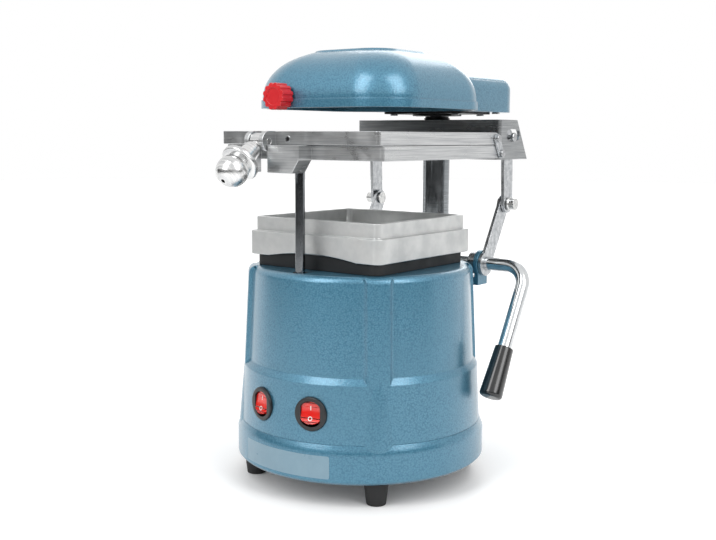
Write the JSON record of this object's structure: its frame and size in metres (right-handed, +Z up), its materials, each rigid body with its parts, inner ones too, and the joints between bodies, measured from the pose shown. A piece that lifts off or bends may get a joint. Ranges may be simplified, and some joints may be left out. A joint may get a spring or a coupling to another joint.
{
  "type": "dental vacuum former",
  "caption": "Bench vacuum former: a lever lowers a hinged sheet clamp along a rear column onto a square suction bed, under a heater head that swings aside.",
  "frame": {"origin": "floor plane under the middle of the round base", "axes": "+Z up, -Y toward the user and the switches, +X to the side of the lever"},
  "size_m": [0.2299, 0.32, 0.3655],
  "materials": {
    "blue_hammer_paint": "hammertone enamel on castings",
    "cast_aluminium": "cast and lightly machined",
    "brushed_aluminium": "brushed flat bar",
    "polished_aluminium": "turned and polished",
    "bright_steel": "chromed bar",
    "plated_steel": "zinc plated plate and bar",
    "screws": "zinc plated screws",
    "dark_steel": "blackened steel",
    "black_rubber": "moulded rubber",
    "black_plastic": "moulded black plastic",
    "red_plastic": "moulded red plastic",
    "motor_casing": "motor and fan casing",
    "reflector_steel": "pressed reflector",
    "element_sheath": "heat-tinted sheath",
    "ceramic_posts": "unglazed stand-offs"
  },
  "bodies": {
    "base": {"body_housing": "blue_hammer_paint", "base_ring": "blue_hammer_paint", "bottom_plate": "dark_steel", "rubber_feet": "black_rubber", "foot_screws": "screws", "body_screws": "screws", "motor_mount": "black_rubber", "vacuum_motor": "motor_casing", "suction_duct": "black_rubber", "bed_gasket": "black_rubber", "vacuum_bed": "cast_aluminium", "perforated_plate": "brushed_aluminium", "rear_bracket": "blue_hammer_paint", "bracket_screws": "screws", "column_set_screw": "screws", "column": "bright_steel", "neck_rings": "dark_steel", "spindle_nut": "screws", "rod_bush": "plated_steel", "switch_bezel_heating": "black_plastic", "switch_bezel_suction": "black_plastic", "cable_gland": "black_plastic", "fuse_holder": "black_plastic"},
    "lever": {"lever_bar": "bright_steel", "lever_grip": "black_plastic", "shaft_collars": "dark_steel", "crank_left": "plated_steel", "crank_right": "plated_steel", "knee_pins": "polished_aluminium"},
    "left_link": {"link_left": "plated_steel", "top_pin_left": "screws"},
    "right_link": {"link_right": "plated_steel", "top_pin_right": "screws"},
    "carriage": {"carriage_yoke": "plated_steel", "carriage_sleeve": "plated_steel", "lower_frame": "brushed_aluminium", "guide_rod": "bright_steel", "frame_screws": "screws", "hinge_plates": "plated_steel", "hinge_screws": "screws"},
    "clamp_frame": {"upper_frame": "brushed_aluminium", "clevis_pin": "screws"},
    "bolt": {"swing_bolt": "polished_aluminium"},
    "knob": {"knob_neck": "polished_aluminium", "clamp_knob": "polished_aluminium"},
    "head": {"head_shell": "blue_hammer_paint", "tail_cover": "dark_steel", "pivot_plate": "dark_steel", "pivot_disc": "dark_steel", "plate_screws": "screws", "head_top_screw": "dark_steel", "heater_pan": "reflector_steel", "heating_element": "element_sheath", "element_posts": "ceramic_posts", "head_knob": "red_plastic", "knob_stud": "screws"},
    "heating_rocker": {"rocker_heating": "red_plastic"},
    "suction_rocker": {"rocker_suction": "red_plastic"}
  },
  "joints": [
    {"name": "head_swing", "type": "hinge", "parent": "base", "child": "head", "pos_m": [0, 0.118, 0.312], "axis": [0, 0, 1], "range_deg": [-90, 90]},
    {"name": "lever_turn", "type": "hinge", "parent": "base", "child": "lever", "pos_m": [0, 0.093, 0.18], "axis": [-1, 0, 0], "range_deg": [0, 51.5]},
    {"name": "carriage_slide", "type": "slide", "parent": "base", "child": "carriage", "axis": [0, 0, -1], "range_m": [0, 0.048]},
    {"name": "left_link_turn", "type": "hinge", "parent": "lever", "child": "left_link", "pos_m": [0, 0.1235, 0.2324], "axis": [-1, 0, 0], "range_deg": [-71.2, 0]},
    {"name": "right_link_turn", "type": "hinge", "parent": "lever", "child": "right_link", "pos_m": [0, 0.1235, 0.2324], "axis": [-1, 0, 0], "range_deg": [-71.2, 0]},
    {"name": "upper_frame_lift", "type": "hinge", "parent": "carriage", "child": "clamp_frame", "pos_m": [0, 0.088, 0.29165], "axis": [1, 0, 0], "range_deg": [-4.5, 0]},
    {"name": "bolt_swing", "type": "hinge", "parent": "clamp_frame", "child": "bolt", "pos_m": [-0.031, -0.095, 0.289], "axis": [1, 0, 0], "range_deg": [-60, 54]},
    {"name": "clamp_knob_turn", "type": "hinge", "parent": "bolt", "child": "knob", "pos_m": [-0.031, -0.095, 0.289], "axis": [0, -0.809, -0.5878], "continuous": true},
    {"name": "heating_rocker_tip", "type": "hinge", "parent": "base", "child": "heating_rocker", "pos_m": [-0.02466, -0.09536, 0.075], "axis": [0.9681, -0.2504, 0], "range_deg": [0, 20]},
    {"name": "suction_rocker_tip", "type": "hinge", "parent": "base", "child": "suction_rocker", "pos_m": [0.02466, -0.09536, 0.075], "axis": [0.9681, 0.2504, 0], "range_deg": [0, 20]}
  ],
  "couplings": [
    {"joint": "carriage_slide", "follows": "lever_turn", "m_per_rad": 0.053401},
    {"joint": "left_link_turn", "follows": "lever_turn", "ratio": -1.38},
    {"joint": "right_link_turn", "follows": "lever_turn", "ratio": -1.38}
  ]
}
